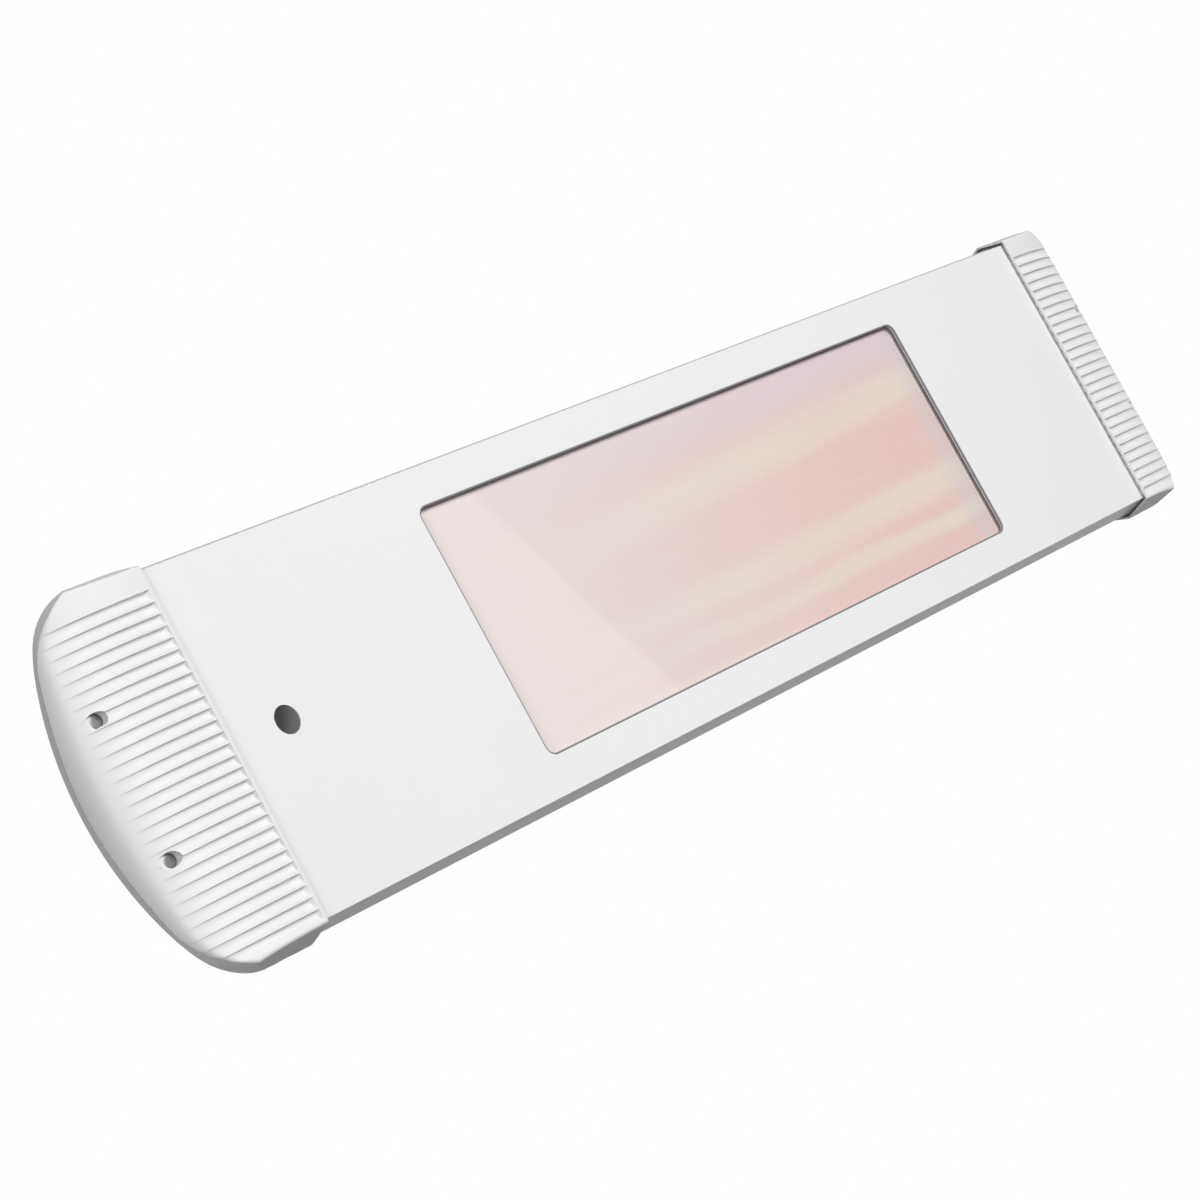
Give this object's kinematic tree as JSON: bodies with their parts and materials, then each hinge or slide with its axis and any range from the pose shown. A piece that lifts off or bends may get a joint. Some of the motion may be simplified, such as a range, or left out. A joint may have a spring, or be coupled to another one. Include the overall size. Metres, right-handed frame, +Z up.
{
  "type": "wall-mounted infrared heater",
  "caption": "Long white infrared heater with a glass window, a round receiver lens and ribbed domed end caps, on a tilting wall bracket.",
  "frame": {"origin": "middle of the wall plate's back face, on the wall plane", "axes": "+X along the heater's length, +Y into the wall, +Z up; the front panel faces -Y"},
  "size_m": [0.714, 0.1224, 0.162],
  "materials": {
    "white_powder_coat": "white powder coat, fine orange peel",
    "white_cap_plastic": "moulded white plastic, satin",
    "heater_glass": "tinted ceramic glass, polished",
    "quartz": "clear fused quartz",
    "bright_aluminium": "polished sheet",
    "heat_sink_aluminium": "extruded, plain",
    "galvanised_steel": "galvanised sheet",
    "zinc_fasteners": "zinc plated",
    "grey_silicone": "soft silicone",
    "white_ceramic": "unglazed steatite",
    "tungsten": "wound wire, drawn as a plain rod",
    "smoked_lens": "smoked polycarbonate",
    "circuit_board": "solder mask",
    "black_plastic": "moulded, satin",
    "fibre": "hard fibre",
    "lead_sleeve": "glass-fibre sleeve over silicone"
  },
  "bodies": {
    "wall_mount": {"wall_bracket": "white_powder_coat", "pivot_bolts": "zinc_fasteners", "pivot_nuts": "zinc_fasteners", "friction_washers": "fibre"},
    "heater": {"housing_shell": "white_powder_coat", "rear_cover": "white_powder_coat", "tilt_yoke": "white_powder_coat", "left_end_cap": "white_cap_plastic", "right_end_cap": "white_cap_plastic", "window_glass": "heater_glass", "quartz_tube": "quartz", "reflector": "bright_aluminium", "reflector_ends": "bright_aluminium", "heat_sink": "heat_sink_aluminium", "glass_retainer": "galvanised_steel", "left_end_bracket": "galvanised_steel", "right_end_bracket": "galvanised_steel", "heat_shield": "galvanised_steel", "yoke_backing_plate": "galvanised_steel", "rear_cover_screws": "zinc_fasteners", "cap_screws": "zinc_fasteners", "retainer_studs": "zinc_fasteners", "yoke_screws": "zinc_fasteners", "board_standoffs": "zinc_fasteners", "glass_gasket": "grey_silicone", "cap_seals": "grey_silicone", "lamp_bases": "white_ceramic", "lamp_holders": "white_ceramic", "filament": "tungsten", "receiver_lens": "smoked_lens", "receiver_board": "circuit_board", "control_board": "circuit_board", "terminal_block": "black_plastic", "thermal_cutout": "black_plastic", "cable_gland": "black_plastic", "gland_nut": "black_plastic", "lamp_leads": "lead_sleeve"}
  },
  "joints": [
    {"name": "tilt", "type": "hinge", "parent": "wall_mount", "child": "heater", "pos_m": [0, -0.052, 0], "axis": [1, 0, 0], "range_deg": [-45, 45]}
  ]
}
